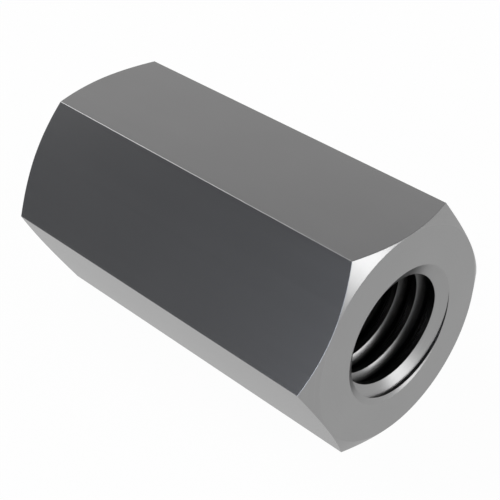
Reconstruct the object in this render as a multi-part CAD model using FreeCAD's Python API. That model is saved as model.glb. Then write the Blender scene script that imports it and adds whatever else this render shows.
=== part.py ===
"""Coupling nut: a long hexagon nut, tapped right through, that joins two M5 threaded rods end to end.

The nut lies on one flat. Its thread axis is X, +Z is up, and the origin is the middle of the nut.
The thread itself is not cut here: the bore is the hole inside the crests of its M5 x 0.8 thread.
"""
import FreeCAD, Part
import math
import os

Vector = FreeCAD.Vector

# Hexagon bar
across_flats = 8.0
nut_length = 15.0
corner_radius = 0.02

# Turned end chamfers, which cut the six corners back at both ends
chamfer_angle = 30.0
chamfer_inset = 0.01

# Tapped hole with a countersink at each mouth
bore_diameter = 4.25
countersink_width = 0.455
countersink_angle = 120.0

# How far a cutting shape runs past the faces that it cuts
overrun = 1.0

HEXAGON_SIDES = 6


def revolved(profile):
    """A solid of revolution about the X axis, from (x, radius) points that start and end on the axis."""
    points = [Vector(x, 0, radius) for x, radius in profile]
    outline = Part.makePolygon(points + points[:1])
    return Part.Face(outline).revolve(Vector(0, 0, 0), Vector(1, 0, 0), 360)


def hexagon_bar():
    """The drawn bar that the nut is made from, lying on a flat, with its six long edges just broken."""
    corner_distance = across_flats / 2 / math.cos(math.pi / HEXAGON_SIDES)
    corners = []
    for side in range(HEXAGON_SIDES):
        angle = 2 * math.pi * side / HEXAGON_SIDES
        y = corner_distance * math.cos(angle)
        z = corner_distance * math.sin(angle)
        corners.append(Vector(-nut_length / 2, y, z))
    section = Part.Face(Part.makePolygon(corners + corners[:1]))
    bar = section.extrude(Vector(nut_length, 0, 0))
    long_edges = [edge for edge in bar.Edges if abs(edge.tangentAt(edge.FirstParameter).x) > 0.5]
    return bar.makeFillet(corner_radius, long_edges)


def turned_blank():
    """The shape that the lathe leaves: a round bar wider than the corners, with both ends chamfered.

    Where its cones meet the flats they leave the curved edges that a hexagon nut has.
    """
    face_radius = across_flats / 2 - chamfer_inset
    blank_radius = across_flats / 2 / math.cos(math.pi / HEXAGON_SIDES) + overrun
    chamfer_depth = (blank_radius - face_radius) * math.tan(math.radians(chamfer_angle))
    end = nut_length / 2
    shoulder = end - chamfer_depth
    return revolved([
        (-end, 0),
        (-end, face_radius),
        (-shoulder, blank_radius),
        (shoulder, blank_radius),
        (end, face_radius),
        (end, 0),
    ])


def tapped_hole():
    """What the drill and the countersink take out: a straight bore that opens as a cone at each mouth."""
    bore_radius = bore_diameter / 2
    slope = math.tan(math.radians(countersink_angle / 2))
    cone_bottom = nut_length / 2 - countersink_width / slope
    cone_top = nut_length / 2 + overrun
    top_radius = bore_radius + (cone_top - cone_bottom) * slope
    return revolved([
        (-cone_top, 0),
        (-cone_top, top_radius),
        (-cone_bottom, bore_radius),
        (cone_bottom, bore_radius),
        (cone_top, top_radius),
        (cone_top, 0),
    ])


def coupling_nut():
    """The whole nut, one solid."""
    return hexagon_bar().common(turned_blank()).cut(tapped_hole())


os.makedirs("parts", exist_ok=True)
coupling_nut().exportStep("parts/coupling_nut.step")
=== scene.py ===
"""Looks for an M5 coupling nut: a chamfered hexagon bar with a right-hand thread from end to end.

The nut lies along X with its front end at +X and one flat on the floor. Lengths are in metres and
angles in radians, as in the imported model.
"""

import math
from collections import namedtuple

import bpy
from bpy.props import FloatProperty, FloatVectorProperty, IntProperty, PointerProperty
from mathutils import Matrix, Vector


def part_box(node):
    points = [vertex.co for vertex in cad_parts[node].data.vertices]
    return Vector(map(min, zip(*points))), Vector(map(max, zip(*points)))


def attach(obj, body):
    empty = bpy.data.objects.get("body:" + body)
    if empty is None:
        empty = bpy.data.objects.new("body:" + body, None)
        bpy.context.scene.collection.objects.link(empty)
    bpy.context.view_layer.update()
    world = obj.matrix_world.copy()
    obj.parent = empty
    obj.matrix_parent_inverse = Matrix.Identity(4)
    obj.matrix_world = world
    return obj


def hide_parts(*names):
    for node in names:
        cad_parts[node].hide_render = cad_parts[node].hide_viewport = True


bl_info = {
    "name": "Coupling Nut",
    "version": (1, 0, 0),
    "blender": (4, 5, 0),
    "location": "3D View > Sidebar > Coupling Nut",
    "description": "A threaded hexagon coupling nut in four steel finishes, with a plain stage",
    "category": "Add Mesh",
}

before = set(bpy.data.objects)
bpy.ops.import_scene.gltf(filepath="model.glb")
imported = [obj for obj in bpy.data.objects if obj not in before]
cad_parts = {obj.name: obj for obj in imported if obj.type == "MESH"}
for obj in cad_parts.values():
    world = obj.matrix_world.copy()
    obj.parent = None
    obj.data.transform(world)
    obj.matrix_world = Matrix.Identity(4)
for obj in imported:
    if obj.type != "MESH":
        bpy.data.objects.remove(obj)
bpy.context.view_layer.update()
NODE = "coupling_nut"
LOW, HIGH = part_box(NODE)

MM = 0.001
HEX_SIDES = 6
SIDE_ANGLE = 2 * math.pi / HEX_SIDES


# Node trees


class Value:
    """One output of a node. Arithmetic on it adds Math nodes to the tree."""

    def __init__(self, graph, socket):
        self.graph = graph
        self.socket = socket

    def __getitem__(self, name):
        """Another output of the same node."""
        return Value(self.graph, self.socket.node.outputs[name])

    def __add__(self, other):
        return self.graph.math("ADD", self, other)

    def __radd__(self, other):
        return self.graph.math("ADD", other, self)

    def __sub__(self, other):
        return self.graph.math("SUBTRACT", self, other)

    def __rsub__(self, other):
        return self.graph.math("SUBTRACT", other, self)

    def __mul__(self, other):
        return self.graph.math("MULTIPLY", self, other)

    def __rmul__(self, other):
        return self.graph.math("MULTIPLY", other, self)

    def __truediv__(self, other):
        return self.graph.math("DIVIDE", self, other)

    def __lt__(self, other):
        return self.graph.math("LESS_THAN", self, other)

    def __gt__(self, other):
        return self.graph.math("GREATER_THAN", self, other)


class Graph:
    """A node tree that is written as expressions."""

    def __init__(self, tree):
        self.tree = tree

    def node(self, kind, inputs=None, **settings):
        """Adds a node, settings first, then inputs by name or number; gives its first output."""
        made = self.tree.nodes.new(kind)
        for name, setting in settings.items():
            setattr(made, name, setting)
        for key, value in (inputs or {}).items():
            self.feed(self.socket(made.inputs, key), value)
        shown = [socket for socket in made.outputs if socket.enabled]
        return Value(self, shown[0]) if shown else None

    def socket(self, sockets, key):
        """The socket with this identifier, or else this name or number."""
        for candidate in sockets:
            if candidate.identifier == key:
                return candidate
        return sockets[key]

    def feed(self, socket, value):
        """Links or sets one input; a list feeds every value into a socket that joins them."""
        for one in value if isinstance(value, list) else [value]:
            if isinstance(one, Value):
                self.tree.links.new(one.socket, socket)
            else:
                socket.default_value = one

    def math(self, operation, *values):
        return self.node("ShaderNodeMath", dict(enumerate(values)), operation=operation)

    def largest(self, first, *others):
        for other in others:
            first = self.math("MAXIMUM", first, other)
        return first

    def smallest(self, first, *others):
        for other in others:
            first = self.math("MINIMUM", first, other)
        return first

    def between(self, value, low, high):
        return self.smallest(self.largest(value, low), high)

    def choose(self, index, values):
        """The value whose place in the list is the index."""
        made = self.tree.nodes.new("GeometryNodeIndexSwitch")
        made.data_type = "FLOAT"
        while len(made.index_switch_items) < len(values):
            made.index_switch_items.new()
        self.feed(made.inputs["Index"], index)
        for place, value in enumerate(values):
            self.feed(made.inputs[place + 1], value)
        return Value(self, made.outputs[0])

    def mixed(self, factor, first, second):
        """A colour between two others."""
        inputs = {"Factor_Float": factor, "A_Color": first, "B_Color": second}
        mix = self.node("ShaderNodeMix", inputs, data_type="RGBA")
        return Value(self, self.socket(mix.socket.node.outputs, "Result_Color"))

    def apart(self, vector):
        """A vector's parts, read as ["X"], ["Y"] and ["Z"]."""
        return self.node("ShaderNodeSeparateXYZ", {0: vector})

    def off_axis(self, place):
        """Distance from the nut's axis, which is X."""
        return self.math("SQRT", place["Y"] * place["Y"] + place["Z"] * place["Z"])

    def soft_step(self, value, edge, softness):
        """Runs smoothly from 0 to 1 as a value passes an edge."""
        inputs = {"Value": value, "From Min": edge - softness, "From Max": edge + softness}
        return self.node("ShaderNodeMapRange", inputs, interpolation_type="SMOOTHSTEP")


# The shape

LENGTH_INPUTS = (
    "Across flats",
    "Length",
    "Corner radius",
    "End circle inset",
    "Edge break",
    "Crest diameter",
    "Countersink width",
    "Pitch",
)
ANGLE_INPUTS = ("Chamfer angle", "Countersink angle", "Thread start")
COUNT_INPUTS = ("Columns per side",)
# The tapped steel paints shade into the groove's bottom, and the drilled steel paints shade on the
# crests.
STEELS = ("Drawn steel", "Turned steel", "Tapped steel", "Drilled steel")
# Vertices closer than this are one; the narrowest faces are three times as wide.
WELD_DISTANCE = 0.0005 * MM
SHARP_ANGLE = math.radians(25)
# Faces across the rounding of the end circle, of the chamfer's curved edges and of half a corner.
END_CIRCLE_STEPS = 2
CURVED_EDGE_STEPS = 4
CORNER_STEPS = 2
# Width of the narrow face beside each rounding, which keeps the broad faces evenly shaded, as a
# share of the rounding's.
SUPPORT = 1 / 2
# The most of the chamfer's width that one of its roundings may take.
CHAMFER_SHARE = 1 / 4
# Rows from mouth to middle: mouth, end face, end circle, chamfer, curved edge, flat.
HALF_ROWS = 2 + (END_CIRCLE_STEPS + 1) + 2 + (CURVED_EDGE_STEPS + 1) + 1
# The thread's section, as shares of its pitch.
CREST_FLAT = 1 / 4
ROOT_FLAT = 1 / 8
TAN_FLANK = math.tan(math.radians(30))
THREAD_ROWS = 6
# Turns of the strip beyond those that the length holds, and the first ones, in front of the nut.
SPARE_TURNS = 3
TURNS_BEFORE_FRONT = 2
# Keeps a divisor above zero.
TINY = 1e-9
# Faces with their middle this close to the crests' radius belong to the crests.
CREST_TOLERANCE = 0.004 * MM
# Faces outside the hole whose normal leans further along X than this are turned, not drawn.
TURNED_NORMAL = 0.25


def nut_tree():
    """The tree that makes the whole nut: hexagon, chamfers, countersinks and thread."""
    tree = bpy.data.node_groups.new("Coupling nut", "GeometryNodeTree")
    tree.is_modifier = True
    inputs = (
        ("NodeSocketFloat", "DISTANCE", LENGTH_INPUTS),
        ("NodeSocketFloat", "ANGLE", ANGLE_INPUTS),
        ("NodeSocketInt", "NONE", COUNT_INPUTS),
    )
    for kind, subtype, names in inputs:
        for name in names:
            socket = tree.interface.new_socket(name, in_out="INPUT", socket_type=kind)
            socket.subtype = subtype
    for name in STEELS:
        tree.interface.new_socket(name, in_out="INPUT", socket_type="NodeSocketMaterial")
    tree.interface.new_socket("Geometry", in_out="OUTPUT", socket_type="NodeSocketGeometry")

    graph = Graph(tree)
    sizes = graph.node("NodeGroupInput")
    pieces = [outer_shell(graph, sizes), tapped_wall(graph, sizes)]
    joined = graph.node("GeometryNodeJoinGeometry", {"Geometry": pieces})
    closed = graph.node(
        "GeometryNodeMergeByDistance", {"Geometry": joined, "Distance": WELD_DISTANCE}
    )
    smooth = graph.node("GeometryNodeSetShadeSmooth", {"Geometry": closed}, domain="FACE")
    corner = graph.node("GeometryNodeInputMeshEdgeAngle") > SHARP_ANGLE
    edged = graph.node(
        "GeometryNodeSetShadeSmooth",
        {"Geometry": smooth, "Selection": corner, "Shade Smooth": False},
        domain="EDGE",
    )
    real = graph.node("GeometryNodeRealizeInstances", {"Geometry": edged})
    graph.node("NodeGroupOutput", {"Geometry": set_finishes(graph, sizes, real)})
    arrange(tree)
    return tree


def corner_span(graph, sizes):
    """Angle between a corner's middle and the end of its rounding, seen from the axis."""
    radius = sizes["Corner radius"]
    centre = (sizes["Across flats"] / 2 - radius) / math.cos(SIDE_ANGLE / 2)
    return graph.math(
        "ARCTAN2", radius * math.sin(SIDE_ANGLE / 2), centre + radius * math.cos(SIDE_ANGLE / 2)
    )


def column_angle(graph, sizes, column):
    """Angle of a column round the axis, from +Z toward +Y.

    Each side has equal columns, and a few closer ones on and just beside its rounded corners.
    """
    per_side = sizes["Columns per side"]
    side = graph.math("FLOOR", (column + 0.5) / per_side)
    place = column - side * per_side
    span = corner_span(graph, sizes)
    from_end = graph.smallest(place, per_side - place)
    on_corner = graph.smallest(from_end / CORNER_STEPS, 1.0)
    beside = graph.between(from_end - CORNER_STEPS, 0.0, 1.0) * SUPPORT
    past = graph.largest(from_end - CORNER_STEPS - 1, 0.0)
    equal = (SIDE_ANGLE - 2 * span * (1 + SUPPORT)) / (per_side - 2 * CORNER_STEPS - 2)
    from_corner = span * (on_corner + beside) + equal * past
    half_sign = 2 * (place > per_side / 2) - 1
    return side * SIDE_ANGLE + half_sign * (SIDE_ANGLE / 2 - from_corner)


def hexagon_radius(graph, sizes, angle):
    """Distance from the axis to the hexagon, whose corners are rounded."""
    radius = sizes["Corner radius"]
    apothem = sizes["Across flats"] / 2
    centre = (apothem - radius) / math.cos(SIDE_ANGLE / 2)
    side = graph.math("FLOOR", angle / SIDE_ANGLE + 0.5)
    from_middle = graph.math("ABSOLUTE", angle - side * SIDE_ANGLE)
    from_corner = SIDE_ANGLE / 2 - from_middle
    across = centre * graph.math("SINE", from_corner)
    under_root = graph.largest(radius * radius - across * across, 0.0)
    on_corner = centre * graph.math("COSINE", from_corner) + graph.math("SQRT", under_root)
    on_flat = apothem / graph.math("COSINE", from_middle)
    is_corner = from_corner < corner_span(graph, sizes)
    return on_flat + is_corner * (on_corner - on_flat)


def at_angle(graph, x, radius, angle):
    """The point at this distance from the axis, with the angle from +Z toward +Y."""
    y = radius * graph.math("SINE", angle)
    z = radius * graph.math("COSINE", angle)
    return graph.node("ShaderNodeCombineXYZ", {"X": x, "Y": y, "Z": z})


def rounded_steps(start, corner, end, steps):
    """Points (depth, radius) on a curve that leaves start toward corner and runs into end."""
    points = []
    for step in range(steps + 1):
        t = step / steps
        weights = ((1 - t) ** 2, 2 * t * (1 - t), t * t)
        points.append(
            tuple(
                start[i] * weights[0] + corner[i] * weights[1] + end[i] * weights[2]
                for i in (0, 1)
            )
        )
    return points


def grid(graph, columns, rows):
    """A grid of points and, for each, its column and row number."""
    mesh = graph.node("GeometryNodeMeshGrid", {"Vertices X": columns, "Vertices Y": rows})
    index = graph.node("GeometryNodeInputIndex")
    column = graph.math("FLOOR", (index + 0.5) / rows)
    return mesh, column, index - column * rows


def outer_shell(graph, sizes):
    """End faces, chamfers and flats, as one band of columns round the axis."""
    half = sizes["Length"] / 2
    end_radius = sizes["Across flats"] / 2 - sizes["End circle inset"]
    mouth_radius = sizes["Crest diameter"] / 2 + sizes["Countersink width"]
    rows = 2 * HALF_ROWS
    mesh, column, row = grid(graph, sizes["Columns per side"] * HEX_SIDES + 1, rows)
    angle = column_angle(graph, sizes, column)
    hexagon = hexagon_radius(graph, sizes, angle)

    tangent = graph.math("TANGENT", sizes["Chamfer angle"])
    sine = graph.math("SINE", sizes["Chamfer angle"])
    cosine = graph.math("COSINE", sizes["Chamfer angle"])
    edge_depth = (hexagon - end_radius) * tangent
    leg = sizes["Edge break"]
    chamfer_width = (hexagon - end_radius) / cosine
    cone_leg = graph.smallest(leg, chamfer_width * CHAMFER_SHARE)
    support = leg * (1 + SUPPORT)
    cone_support = cone_leg * (1 + SUPPORT)
    zero = 0.0 * leg
    points = [
        (zero, mouth_radius),
        (zero, end_radius - support),
        *rounded_steps(
            (zero, end_radius - leg),
            (zero, end_radius),
            (cone_leg * sine, end_radius + cone_leg * cosine),
            END_CIRCLE_STEPS,
        ),
        (cone_support * sine, end_radius + cone_support * cosine),
        (edge_depth - cone_support * sine, hexagon - cone_support * cosine),
        *rounded_steps(
            (edge_depth - cone_leg * sine, hexagon - cone_leg * cosine),
            (edge_depth, hexagon),
            (edge_depth + leg, hexagon),
            CURVED_EDGE_STEPS,
        ),
        (edge_depth + support, hexagon),
    ]
    from_end = graph.smallest(row, rows - 1 - row)
    side_sign = 1 - 2 * (row > HALF_ROWS - 0.5)
    depth = graph.choose(from_end, [point[0] for point in points])
    radius = graph.choose(from_end, [point[1] for point in points])
    place = at_angle(graph, side_sign * (half - depth), radius, angle)
    return graph.node("GeometryNodeSetPosition", {"Geometry": mesh, "Position": place})


def countersink_radius(graph, sizes, depth):
    """Radius of whichever end's countersink reaches further out at this depth."""
    slope = graph.math("TANGENT", sizes["Countersink angle"] / 2)
    mouth_radius = sizes["Crest diameter"] / 2 + sizes["Countersink width"]
    front = mouth_radius - depth * slope
    back = mouth_radius - (sizes["Length"] - depth) * slope
    return graph.largest(front, back)


def tapped_wall(graph, sizes):
    """The threaded wall with both countersinks, as one helical strip that is a pitch wide.

    Across the strip run the edges of crest and root. An edge that a countersink cuts away slides
    down its flank to where the cone meets it, and what lies past an end gathers on the mouth's rim.
    """
    pitch = sizes["Pitch"]
    length = sizes["Length"]
    per_turn = sizes["Columns per side"] * HEX_SIDES
    turns = graph.math("CEIL", length / pitch) + SPARE_TURNS
    mesh, column, row = grid(graph, per_turn * turns + 1, THREAD_ROWS + 1)
    turn = graph.math("FLOOR", (column + 0.5) / per_turn)
    angle = column_angle(graph, sizes, column - turn * per_turn)
    turned = (angle + sizes["Thread start"]) / (2 * math.pi)
    next_turn = row > THREAD_ROWS - 0.5
    crest_start = pitch * (turn - TURNS_BEFORE_FRONT + turned + next_turn)

    crest_radius = sizes["Crest diameter"] / 2
    flank_depth = pitch * ((1 - CREST_FLAT - ROOT_FLAT) / 2)
    height = flank_depth / TAN_FLANK
    root_radius = crest_radius + height
    crest_end = crest_start + pitch * CREST_FLAT
    root_start = crest_end + flank_depth
    root_end = root_start + pitch * ROOT_FLAT

    def slid(edge, foot):
        """How far along its flank a crest edge moves to stand clear of the countersink."""
        at_edge = countersink_radius(graph, sizes, edge)
        at_foot = countersink_radius(graph, sizes, foot)
        room = graph.largest(height - at_foot + at_edge, TINY)
        return graph.between((at_edge - crest_radius) / room, 0.0, 1.0)

    first_slide = slid(crest_start, crest_start - flank_depth)
    last_slide = slid(crest_end, root_start)
    first_depth = crest_start - first_slide * flank_depth
    last_depth = crest_end + last_slide * flank_depth
    slope = graph.math("TANGENT", sizes["Countersink angle"] / 2)
    past_middle = crest_start > length / 2

    def from_mouth(depth):
        """The same depth, counted from the nearer mouth."""
        return depth + past_middle * (length - 2 * depth)

    cone_end = from_mouth(sizes["Countersink width"] / slope)
    cone_root = from_mouth((sizes["Countersink width"] - height) / slope)
    depths = [
        first_depth,
        graph.between(cone_end, first_depth, last_depth),
        last_depth,
        root_start,
        graph.between(cone_root, root_start, root_end),
        root_end,
        first_depth,
    ]
    radii = [
        crest_radius + first_slide * height,
        crest_radius,
        crest_radius + last_slide * height,
        root_radius,
        root_radius,
        root_radius,
        crest_radius + first_slide * height,
    ]
    depth = graph.between(graph.choose(row, depths), 0.0, length)
    cone_radius = countersink_radius(graph, sizes, depth)
    radius = graph.largest(graph.choose(row, radii), cone_radius)
    place = at_angle(graph, length / 2 - depth, radius, angle)
    moved = graph.node("GeometryNodeSetPosition", {"Geometry": mesh, "Position": place})
    return graph.node("GeometryNodeFlipFaces", {"Mesh": moved})


def set_finishes(graph, sizes, geometry):
    """Drawn flats, turned ends and chamfers, the tapped hole, and its drilled crests; groove and
    crests carry painted shade.
    """
    radius = graph.off_axis(graph.apart(graph.node("GeometryNodeInputPosition")))
    normal = graph.apart(graph.node("GeometryNodeInputNormal"))
    crest_radius = sizes["Crest diameter"] / 2
    selections = (
        True,
        graph.math("ABSOLUTE", normal["X"]) > TURNED_NORMAL,
        radius < crest_radius + sizes["Countersink width"],
        radius < crest_radius + CREST_TOLERANCE,
    )
    for name, selection in zip(STEELS, selections):
        inputs = {"Geometry": geometry, "Selection": selection, "Material": sizes[name]}
        geometry = graph.node("GeometryNodeSetMaterial", inputs)
    return geometry


NODE_SPACING = (200, 180)


def arrange(tree):
    """Lays a tree's nodes out in columns, each left of the nodes that it feeds."""
    fed_by = {node: [] for node in tree.nodes}
    for link in tree.links:
        fed_by[link.to_node].append(link.from_node)
    rank = {node: 0 for node in tree.nodes}
    waiting = [node for node in tree.nodes if not any(s.is_linked for s in node.outputs)]
    while waiting:
        node = waiting.pop()
        for source in fed_by[node]:
            if rank[source] < rank[node] + 1:
                rank[source] = rank[node] + 1
                waiting.append(source)
    heights = {}
    for node in tree.nodes:
        column = rank[node]
        height = heights.get(column, 0)
        node.location = (-NODE_SPACING[0] * column, -NODE_SPACING[1] * height)
        heights[column] = height + 1


def built(name, tree, values):
    """A plain mesh object from a node tree, with these values in its named inputs."""
    blank = bpy.data.meshes.new(name)
    piece = bpy.data.objects.new(name, blank)
    bpy.context.scene.collection.objects.link(piece)
    modifier = piece.modifiers.new(tree.name, "NODES")
    modifier.node_group = tree
    for item in tree.interface.items_tree:
        if item.in_out == "INPUT":
            modifier[item.identifier] = values[item.name]
    depsgraph = bpy.context.evaluated_depsgraph_get()
    mesh = bpy.data.meshes.new_from_object(
        piece.evaluated_get(depsgraph), preserve_all_data_layers=True, depsgraph=depsgraph
    )
    if not mesh.polygons:
        raise RuntimeError(f"the tree {tree.name} made no faces for {name}")
    # Grid nodes bring an empty material slot.
    for place in reversed(range(len(mesh.materials))):
        if mesh.materials[place] is None:
            mesh.materials.pop(index=place)
    piece.modifiers.clear()
    piece.data = mesh
    bpy.data.meshes.remove(blank)
    mesh.name = name
    return piece


# The finishes

# Noise marks per metre: along X, Y and Z for lines and clouds, and for rings out from the axis
# and along it.
LINE_SCALE = (60, 12000, 12000)
RING_SCALE = 16000
CLOUD_SCALE = (300, 400, 400)
NOISE_DETAIL = 3.0
NOISE_MEAN = 0.5
EVEN_TONE = 0.5
# How far marks and clouds change the steel's tone, and marks its roughness.
TONE_RANGE = 0.15
GLOSS_RANGE = 0.1
BUMP_DISTANCE = 0.001 * MM
# The colour towards which painted shade darkens the steel.
PAINTED_SHADE_BLACK = (0.0, 0.0, 0.0, 1.0)
# Where painted shade starts in the groove, in pitches: how far outside the crests and past the
# mouth.
GROOVE_EDGE = 0.37
GROOVE_SOFTNESS = 0.05
MOUTH_EDGE = 0.85
MOUTH_SOFTNESS = 0.15


def shade(colour, factor=1.0):
    """A colour made darker or lighter, with full opacity."""
    return (colour[0] * factor, colour[1] * factor, colour[2] * factor, 1.0)


class Steel(Graph):
    """A steel with tool marks and faint clouds in its colour, gloss and relief."""

    def __init__(self, name):
        self.material = bpy.data.materials.new(name)
        self.material.use_nodes = True
        super().__init__(self.material.node_tree)
        self.tree.nodes.clear()
        self.place = self.node("ShaderNodeTexCoord")["Object"]

    def stretched(self, scale):
        """Object coordinates times a scale for each axis."""
        return self.node("ShaderNodeMapping", {"Vector": self.place, "Scale": scale})

    def rings(self):
        """Coordinates that stay the same round the axis."""
        place = self.apart(self.place)
        inputs = {"X": self.off_axis(place) * RING_SCALE, "Y": place["X"] * RING_SCALE}
        return self.node("ShaderNodeCombineXYZ", inputs)

    def noise(self, vector):
        inputs = {"Vector": vector, "Scale": 1.0, "Detail": NOISE_DETAIL}
        return self.node("ShaderNodeTexNoise", inputs)

    def finished(self, look, marks_at, roughness, edge_tint, brightness=1.0, painted_shade=None):
        """The material, with marks read at these coordinates and any painted shade."""
        marks = self.noise(marks_at) - NOISE_MEAN
        clouds = self.noise(self.stretched(CLOUD_SCALE)) - NOISE_MEAN
        tone = EVEN_TONE + (marks + clouds) * look.streaks
        # A brightness below one is painted shade, as on the crests; it darkens colour and grazing
        # tint.
        darker = shade(look.colour, brightness * (1 - TONE_RANGE))
        lighter = shade(look.colour, brightness * (1 + TONE_RANGE))
        colour = self.mixed(tone, darker, lighter)
        # Painted shade: the colour is darkened towards black by this amount.
        if painted_shade is not None:
            colour = self.mixed(painted_shade, colour, PAINTED_SHADE_BLACK)
        bump = self.node(
            "ShaderNodeBump",
            {"Strength": look.bump, "Distance": BUMP_DISTANCE, "Height": marks},
        )
        shader = self.node(
            "ShaderNodeBsdfPrincipled",
            {
                "Base Color": colour,
                "Metallic": 1.0,
                "Roughness": roughness + marks * (GLOSS_RANGE * look.streaks),
                "Specular Tint": shade(edge_tint, brightness),
                "Normal": bump,
            },
        )
        self.node("ShaderNodeOutputMaterial", {"Surface": shader})
        arrange(self.tree)
        return self.material


def drawn_steel(look):
    """The flats: fine drawing lines along the bar."""
    steel = Steel("drawn_steel")
    marks_at = steel.stretched(LINE_SCALE)
    return steel.finished(look, marks_at, look.flat_roughness, look.edge_tint)


def turned_steel(look):
    """End faces and chamfers: rings round the axis."""
    steel = Steel("turned_steel")
    return steel.finished(look, steel.rings(), look.end_roughness, look.end_edge_tint)


def tapped_steel(look, sizes):
    """Countersinks and the cut thread: rings round the axis, painted shade in the groove's bottom.
    """
    steel = Steel("tapped_steel")
    place = steel.apart(steel.place)
    pitch = sizes.pitch
    out = steel.off_axis(place) - sizes.crest_diameter / 2
    inward = sizes.length / 2 - steel.math("ABSOLUTE", place["X"])
    # Painted shade: darkens the groove's bottom, away from both mouths.
    low = steel.soft_step(out, GROOVE_EDGE * pitch, GROOVE_SOFTNESS * pitch)
    deep = steel.soft_step(inward, MOUTH_EDGE * pitch, MOUTH_SOFTNESS * pitch)
    painted_shade = low * deep * (1 - look.painted_groove_brightness)
    rings = steel.rings()
    return steel.finished(look, rings, look.thread_roughness, look.edge_tint, painted_shade=painted_shade)


def drilled_steel_in_painted_shade(look):
    """The drilled crests, whose colour and grazing tint are darkened as painted shade."""
    steel = Steel("drilled_steel_in_painted_shade")
    rings = steel.rings()
    return steel.finished(
        look, rings, look.thread_roughness, look.edge_tint, brightness=look.painted_crest_brightness
    )


# What a user would change


def length_property(name, description, default):
    return FloatProperty(
        name=name,
        description=description,
        default=default,
        min=0.001 * MM,
        subtype="DISTANCE",
        unit="LENGTH",
        precision=6,
    )


def angle_property(name, description, degrees):
    return FloatProperty(
        name=name,
        description=description,
        default=math.radians(degrees),
        subtype="ANGLE",
        unit="ROTATION",
    )


def share_property(name, description, default):
    return FloatProperty(name=name, description=description, default=default, min=0, max=1)


def colour_property(name, description, default):
    return FloatVectorProperty(
        name=name, description=description, default=default, min=0, max=1, subtype="COLOR"
    )


class NutSizes(bpy.types.PropertyGroup):
    """Sizes of the nut."""

    across_flats: length_property(
        "Across flats", "Width of the hexagon from one flat to the opposite one", HIGH.z - LOW.z
    )
    length: length_property("Length", "From one end face to the other", HIGH.x - LOW.x)
    corner_radius: length_property("Corner radius", "Rounding of the six long corners", 0.02 * MM)
    end_circle_inset: length_property(
        "End circle inset", "How far inside the flats the turned end circle lies", 0.01 * MM
    )
    edge_break: length_property(
        "Edge break", "Reach of the small rounding along the chamfer's edges", 0.012 * MM
    )
    crest_diameter: length_property(
        "Crest diameter", "Diameter of the hole inside the thread's crests", 4.25 * MM
    )
    countersink_width: length_property(
        "Countersink width", "Width of the countersink's ring, seen along the axis", 0.455 * MM
    )
    pitch: length_property("Pitch", "Distance from one turn of the thread to the next", 0.8 * MM)
    chamfer_angle: angle_property("Chamfer angle", "Slope of the chamfers, from the end face", 30)
    countersink_angle: angle_property(
        "Countersink angle", "Angle of the countersink's cone, from side to side", 120
    )
    thread_start: angle_property("Thread start", "Turns the thread about the axis", 39)
    columns_per_side: IntProperty(
        name="Columns per side", description="Faces round each sixth of the nut", default=28, min=12
    )


class SteelLook(bpy.types.PropertyGroup):
    """Colour and gloss of the steel."""

    colour: colour_property(
        "Steel colour", "Colour of the steel where it is seen straight on", (0.29, 0.29, 0.29)
    )
    edge_tint: colour_property(
        "Grazing tint", "Colour of glancing reflections on flats and thread", (0.69, 0.69, 0.69)
    )
    end_edge_tint: colour_property(
        "Grazing tint of the ends",
        "Colour of glancing reflections on end faces and chamfers",
        (0.86, 0.86, 0.86),
    )
    flat_roughness: share_property("Roughness of the flats", "Of the drawn sides", 0.20)
    end_roughness: share_property("Roughness of the ends", "Of end faces and chamfers", 0.34)
    thread_roughness: share_property("Roughness of the thread", "Of the tapped hole", 0.29)
    # Painted shade: how bright the crests' colour and grazing tint are left.
    painted_crest_brightness: share_property(
        "Brightness of the crests", "Of the drilled crests, against the other steel", 0.4
    )
    # Painted shade: how bright the groove's bottom is left.
    painted_groove_brightness: share_property(
        "Brightness of the groove", "At the bottom of the thread, against the other steel", 0.3
    )
    streaks: share_property("Tool marks", "How much lines and rings change the steel's colour", 0.3)
    bump: share_property("Tool mark depth", "How much lines and rings show as relief", 0.2)


class StageLook(bpy.types.PropertyGroup):
    """Floor, light and camera."""

    floor_size: length_property("Floor size", "Side of the square floor", 4.0)
    shadow: share_property(
        "Shadow", "How much of the floor's own light and shade shows on its white", 0.03
    )
    room_colour: colour_property(
        "Room light", "Colour of the light from all round", (0.177, 0.181, 0.191)
    )
    lens: FloatProperty(
        name="Lens",
        description="Focal length of the camera, in millimetres",
        default=90.93,
        min=1,
    )
    distance: length_property(
        "Camera distance", "From the camera to the plane through the nut's middle", 46.10 * MM
    )


# The buttons


class NUT_OT_add_nut(bpy.types.Operator):
    """Makes the threaded nut in its four steel finishes, in place of the plain solid"""

    bl_idname = "coupling_nut.add_nut"
    bl_label = "Add coupling nut"

    def execute(self, context):
        sizes = context.scene.nut_sizes
        look = context.scene.nut_steel
        values = {
            sizes.bl_rna.properties[key].name: getattr(sizes, key)
            for key in NutSizes.__annotations__
        }
        steels = (
            drawn_steel(look),
            turned_steel(look),
            tapped_steel(look, sizes),
            drilled_steel_in_painted_shade(look),
        )
        values.update(zip(STEELS, steels))
        nut = built("threaded_nut", nut_tree(), values)
        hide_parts(NODE)
        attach(nut, "root")
        return {"FINISHED"}


class NUT_OT_add_stage(bpy.types.Operator):
    """Adds the white floor, the room with its soft windows, and the camera"""

    bl_idname = "coupling_nut.add_stage"
    bl_label = "Add stage"

    def execute(self, context):
        look = context.scene.nut_stage
        context.scene.view_settings.view_transform = "Standard"
        add_floor(look)
        add_world(look)
        add_camera(look)
        return {"FINISHED"}


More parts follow.
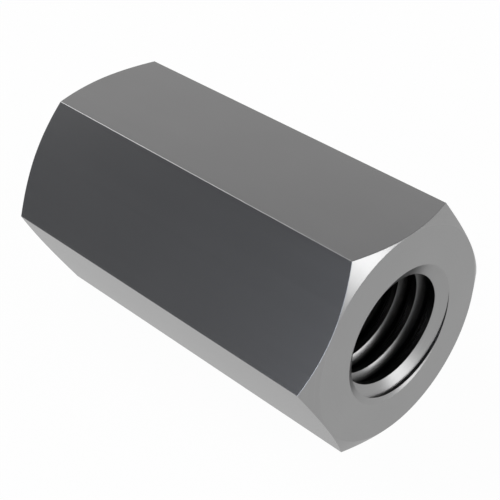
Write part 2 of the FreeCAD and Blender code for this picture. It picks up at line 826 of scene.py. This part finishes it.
class NUT_PT_panel(bpy.types.Panel):
    """Sizes, colours and buttons for the nut."""

    bl_label = "Coupling Nut"
    bl_idname = "NUT_PT_panel"
    bl_space_type = "VIEW_3D"
    bl_region_type = "UI"
    bl_category = "Coupling Nut"

    def draw(self, context):
        scene = context.scene
        for groups, operator in (
            ((scene.nut_sizes, scene.nut_steel), NUT_OT_add_nut.bl_idname),
            ((scene.nut_stage,), NUT_OT_add_stage.bl_idname),
        ):
            column = self.layout.column()
            for group in groups:
                for key in type(group).__annotations__:
                    column.prop(group, key)
            self.layout.operator(operator)


# The stage

WHITE = (1.0, 1.0, 1.0, 1.0)
FLOOR_COLOUR = (0.8, 0.8, 0.8, 1.0)
CAMERA_DIRECTION = (1.0, -1.0, 1.0)
CAMERA_RIGHT = 0.310 * MM
CAMERA_DOWN = 0.240 * MM
SENSOR = 36.0
CLIP_START = 1 * MM

Window = namedtuple("Window", "azimuth elevation width height softness radiance colour")

# Soft windows, in degrees. The azimuth runs from +X toward +Y.
WINDOWS = (
    # Bright on the front corner's chamfer and along the thread.
    Window(12, 19.4, 37, 24, 6.5, 6.15, (1.0, 1.0, 1.0)),
    # The even light on the top flat.
    Window(105, -27, 140, 126, 20, 0.75, (1.04, 1.025, 1.01)),
    # The bright line along the upper corner.
    Window(-168, 43, 54, 32, 7, 4.0, (1.0, 1.0, 1.0)),
    # A lighter near corner on the top flat.
    Window(105, 22, 40, 26, 20, 0.1, (1.0, 1.0, 1.0)),
    # A lighter far corner on the dark flat.
    Window(-154, 26, 27, 24, 6, 1.1, (1.0, 1.0, 1.0)),
    # The bright rim of the front chamfer on the dark side, and a bluer near end on the dark flat.
    Window(-93, 13, 24, 20, 12, 7.4, (0.90, 0.96, 1.10)),
)


def white_to_viewer(graph, shown, behind):
    """The shown shader for camera, mirror and glass rays, and the other for the rest."""
    path = graph.node("ShaderNodeLightPath")
    seen = graph.largest(
        path["Is Camera Ray"], path["Is Glossy Ray"], path["Is Transmission Ray"]
    )
    return graph.node("ShaderNodeMixShader", {0: seen, 1: behind, 2: shown})


def floor_material(look):
    """White to the viewer, with a little of its own light and shade."""
    material = bpy.data.materials.new("white_floor")
    material.use_nodes = True
    graph = Graph(material.node_tree)
    graph.tree.nodes.clear()
    diffuse = graph.node("ShaderNodeBsdfDiffuse", {"Color": FLOOR_COLOUR})
    white = graph.node("ShaderNodeEmission", {"Color": WHITE, "Strength": 1.0})
    shown = graph.node("ShaderNodeMixShader", {0: look.shadow, 1: white, 2: diffuse})
    surface = white_to_viewer(graph, shown, diffuse)
    graph.node("ShaderNodeOutputMaterial", {"Surface": surface})
    arrange(graph.tree)
    return material


def add_floor(look):
    """A large square level with the nut's underside."""
    mesh = bpy.data.meshes.new("floor")
    half = look.floor_size / 2
    corners = [(x * half, y * half, LOW.z) for x, y in ((-1, -1), (1, -1), (1, 1), (-1, 1))]
    mesh.from_pydata(corners, [], [(0, 1, 2, 3)])
    mesh.materials.append(floor_material(look))
    floor = bpy.data.objects.new("floor", mesh)
    bpy.context.scene.collection.objects.link(floor)


def add_world(look):
    """An even room with a few soft windows."""
    world = bpy.data.worlds.new("room")
    world.use_nodes = True
    graph = Graph(world.node_tree)
    graph.tree.nodes.clear()
    toward = graph.apart(graph.node("ShaderNodeTexCoord")["Generated"])
    elevation = graph.math("ARCSINE", toward["Z"])
    light = graph.node("ShaderNodeBackground", {"Color": shade(look.room_colour)})
    for window in WINDOWS:
        turn = math.radians(window.azimuth)
        ahead = toward["X"] * math.cos(turn) + toward["Y"] * math.sin(turn)
        aside = toward["Y"] * math.cos(turn) - toward["X"] * math.sin(turn)
        off = graph.math("ABSOLUTE", graph.math("ARCTAN2", aside, ahead))
        rise = graph.math("ABSOLUTE", elevation - math.radians(window.elevation))
        softness = math.radians(window.softness)
        outside = graph.largest(
            graph.soft_step(off, math.radians(window.width / 2), softness),
            graph.soft_step(rise, math.radians(window.height / 2), softness),
        )
        inputs = {"Color": shade(window.colour), "Strength": (1 - outside) * window.radiance}
        glow = graph.node("ShaderNodeBackground", inputs)
        light = graph.node("ShaderNodeAddShader", {0: light, 1: glow})
    graph.node("ShaderNodeOutputWorld", {"Surface": light})
    arrange(graph.tree)
    bpy.context.scene.world = world


def add_camera(look):
    """Looks along the diagonal of a cube, with the nut a little left of and above the middle."""
    data = bpy.data.cameras.new("camera")
    data.sensor_width = SENSOR
    data.lens = look.lens
    data.clip_start = CLIP_START
    away = Vector(CAMERA_DIRECTION).normalized()
    turn = (-away).to_track_quat("-Z", "Y").to_matrix().to_4x4()
    right = turn.col[0].xyz
    up = turn.col[1].xyz
    place = away * look.distance + right * CAMERA_RIGHT - up * CAMERA_DOWN
    camera = bpy.data.objects.new("camera", data)
    camera.matrix_world = Matrix.Translation(place) @ turn
    bpy.context.scene.collection.objects.link(camera)
    bpy.context.scene.camera = camera


# The add-on

CLASSES = (NutSizes, SteelLook, StageLook, NUT_OT_add_nut, NUT_OT_add_stage, NUT_PT_panel)


def register():
    for cls in CLASSES:
        bpy.utils.register_class(cls)
    bpy.types.Scene.nut_sizes = PointerProperty(type=NutSizes)
    bpy.types.Scene.nut_steel = PointerProperty(type=SteelLook)
    bpy.types.Scene.nut_stage = PointerProperty(type=StageLook)


def unregister():
    del bpy.types.Scene.nut_stage
    del bpy.types.Scene.nut_steel
    del bpy.types.Scene.nut_sizes
    for cls in reversed(CLASSES):
        bpy.utils.unregister_class(cls)


def main():
    register()
    bpy.ops.coupling_nut.add_nut()
    bpy.ops.coupling_nut.add_stage()


if __name__ == "__main__":
    main()
